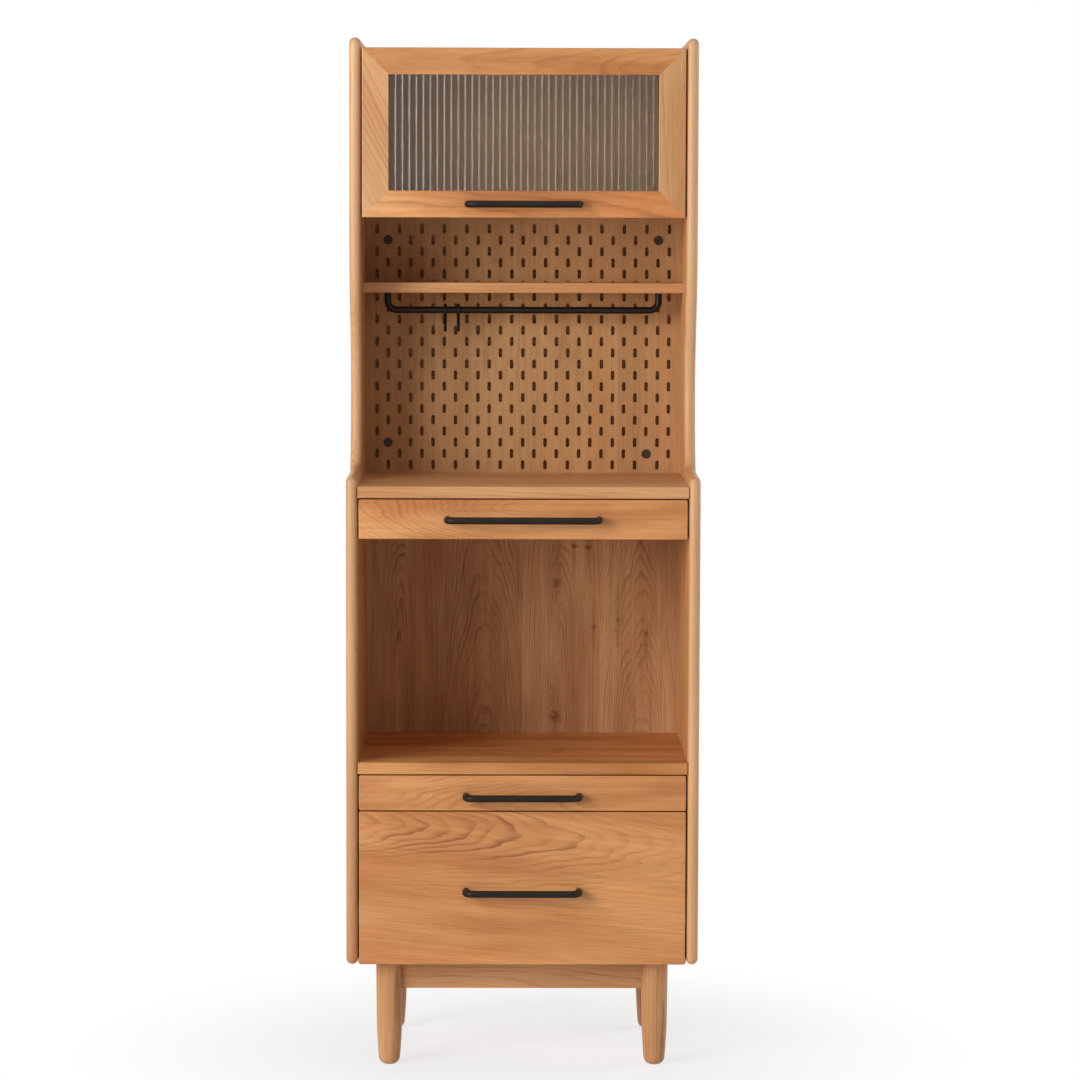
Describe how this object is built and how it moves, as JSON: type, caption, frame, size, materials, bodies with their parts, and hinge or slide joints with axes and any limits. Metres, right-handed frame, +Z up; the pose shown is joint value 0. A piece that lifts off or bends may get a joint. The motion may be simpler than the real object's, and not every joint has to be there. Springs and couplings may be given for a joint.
{
  "type": "sideboard",
  "caption": "Tall wooden sideboard with a reeded glass flap above a pegboard alcove and worktop, an open oven bay, bar-handled drawers on telescopic slides and turned legs",
  "frame": {"origin": "on the floor below the middle of the whole outline", "axes": "+X to the right seen from the front, front towards -Y, +Z up"},
  "size_m": [0.6, 0.434, 1.76],
  "materials": {
    "cherry_wood": "satin clear lacquer over warm tan solid wood",
    "drawer_box_wood": "plain pale wood",
    "black_metal": "matt black",
    "glass": "clear with upright reeds",
    "steel": "zinc plated",
    "cap_plastic": "dark brown, matt"
  },
  "bodies": {
    "cabinet": {"bottom_panel": "cherry_wood", "display_floor": "cherry_wood", "drawer_divider": "cherry_wood", "front_apron": "cherry_wood", "front_left_leg": "cherry_wood", "front_right_leg": "cherry_wood", "hanging_rail": "black_metal", "hinge_cabinet_leaves": "steel", "hinge_pins": "steel", "left_side_panel": "cherry_wood", "lower_back_panel": "cherry_wood", "oven_bay_floor": "cherry_wood", "pegboard": "cherry_wood", "pegboard_fixings": "cap_plastic", "rear_apron": "cherry_wood", "rear_left_leg": "cherry_wood", "rear_right_leg": "cherry_wood", "right_side_panel": "cherry_wood", "side_aprons": "cherry_wood", "slide_outer_rails": "steel", "spice_shelf": "cherry_wood", "strut_cabinet_brackets": "steel", "top_panel": "cherry_wood", "upper_back_panel": "cherry_wood", "worktop": "cherry_wood"},
    "door": {"door_top_rail": "cherry_wood", "door_bottom_rail": "cherry_wood", "door_left_stile": "cherry_wood", "door_right_stile": "cherry_wood", "fluted_glass": "glass", "glazing_beads": "cherry_wood", "door_handle": "black_metal", "door_handle_screws": "steel", "hinge_door_leaves": "steel", "strut_door_brackets": "steel"},
    "strut_cylinders": {"strut_cylinders": "steel"},
    "strut_rods": {"strut_rods": "steel"},
    "top_drawer": {"top_drawer_front": "cherry_wood", "top_drawer_walls": "drawer_box_wood", "top_drawer_bottom": "drawer_box_wood", "top_drawer_handle": "black_metal", "top_drawer_handle_screws": "steel", "top_drawer_slide_inner_rails": "steel"},
    "top_slides": {"top_drawer_slide_middle_rails": "steel"},
    "middle_drawer": {"middle_drawer_front": "cherry_wood", "middle_drawer_walls": "drawer_box_wood", "middle_drawer_bottom": "drawer_box_wood", "middle_drawer_handle": "black_metal", "middle_drawer_handle_screws": "steel", "middle_drawer_slide_inner_rails": "steel"},
    "middle_slides": {"middle_drawer_slide_middle_rails": "steel"},
    "deep_drawer": {"deep_drawer_front": "cherry_wood", "deep_drawer_walls": "drawer_box_wood", "deep_drawer_bottom": "drawer_box_wood", "deep_drawer_handle": "black_metal", "deep_drawer_handle_screws": "steel", "deep_drawer_slide_inner_rails": "steel"},
    "deep_slides": {"deep_drawer_slide_middle_rails": "steel"},
    "left_hook": {"left_hook": "black_metal"},
    "right_hook": {"right_hook": "black_metal"}
  },
  "joints": [
    {"name": "door_flip", "type": "hinge", "parent": "cabinet", "child": "door", "pos_m": [0, -0.0055, 1.739], "axis": [-1, 0, 0], "range_deg": [0, 85]},
    {"name": "strut_cylinder_swing", "type": "hinge", "parent": "cabinet", "child": "strut_cylinders", "pos_m": [0, 0.1345, 1.68515], "axis": [-1, 0, 0], "range_deg": [0, 42.5]},
    {"name": "strut_rod_swing", "type": "hinge", "parent": "door", "child": "strut_rods", "pos_m": [0, 0.003, 1.58924], "axis": [-1, 0, 0], "range_deg": [-42.5, 0]},
    {"name": "top_drawer_slide", "type": "slide", "parent": "cabinet", "child": "top_drawer", "axis": [0, -1, 0], "range_m": [0, 0.3]},
    {"name": "top_slide_extend", "type": "slide", "parent": "cabinet", "child": "top_slides", "axis": [0, -1, 0], "range_m": [0, 0.15]},
    {"name": "middle_drawer_slide", "type": "slide", "parent": "cabinet", "child": "middle_drawer", "axis": [0, -1, 0], "range_m": [0, 0.3]},
    {"name": "middle_slide_extend", "type": "slide", "parent": "cabinet", "child": "middle_slides", "axis": [0, -1, 0], "range_m": [0, 0.15]},
    {"name": "deep_drawer_slide", "type": "slide", "parent": "cabinet", "child": "deep_drawer", "axis": [0, -1, 0], "range_m": [0, 0.3]},
    {"name": "deep_slide_extend", "type": "slide", "parent": "cabinet", "child": "deep_slides", "axis": [0, -1, 0], "range_m": [0, 0.15]},
    {"name": "left_hook_swing", "type": "hinge", "parent": "cabinet", "child": "left_hook", "pos_m": [-0.1375, 0.1365, 1.291], "axis": [1, 0, 0], "range_deg": [-45, 45]},
    {"name": "right_hook_swing", "type": "hinge", "parent": "cabinet", "child": "right_hook", "pos_m": [-0.1145, 0.1365, 1.291], "axis": [1, 0, 0], "range_deg": [-45, 45]}
  ],
  "couplings": [
    {"joint": "strut_cylinder_swing", "follows": "door_flip", "ratio": 0.5},
    {"joint": "strut_rod_swing", "follows": "door_flip", "ratio": -0.5},
    {"joint": "top_slide_extend", "follows": "top_drawer_slide", "ratio": 0.5},
    {"joint": "middle_slide_extend", "follows": "middle_drawer_slide", "ratio": 0.5},
    {"joint": "deep_slide_extend", "follows": "deep_drawer_slide", "ratio": 0.5}
  ]
}
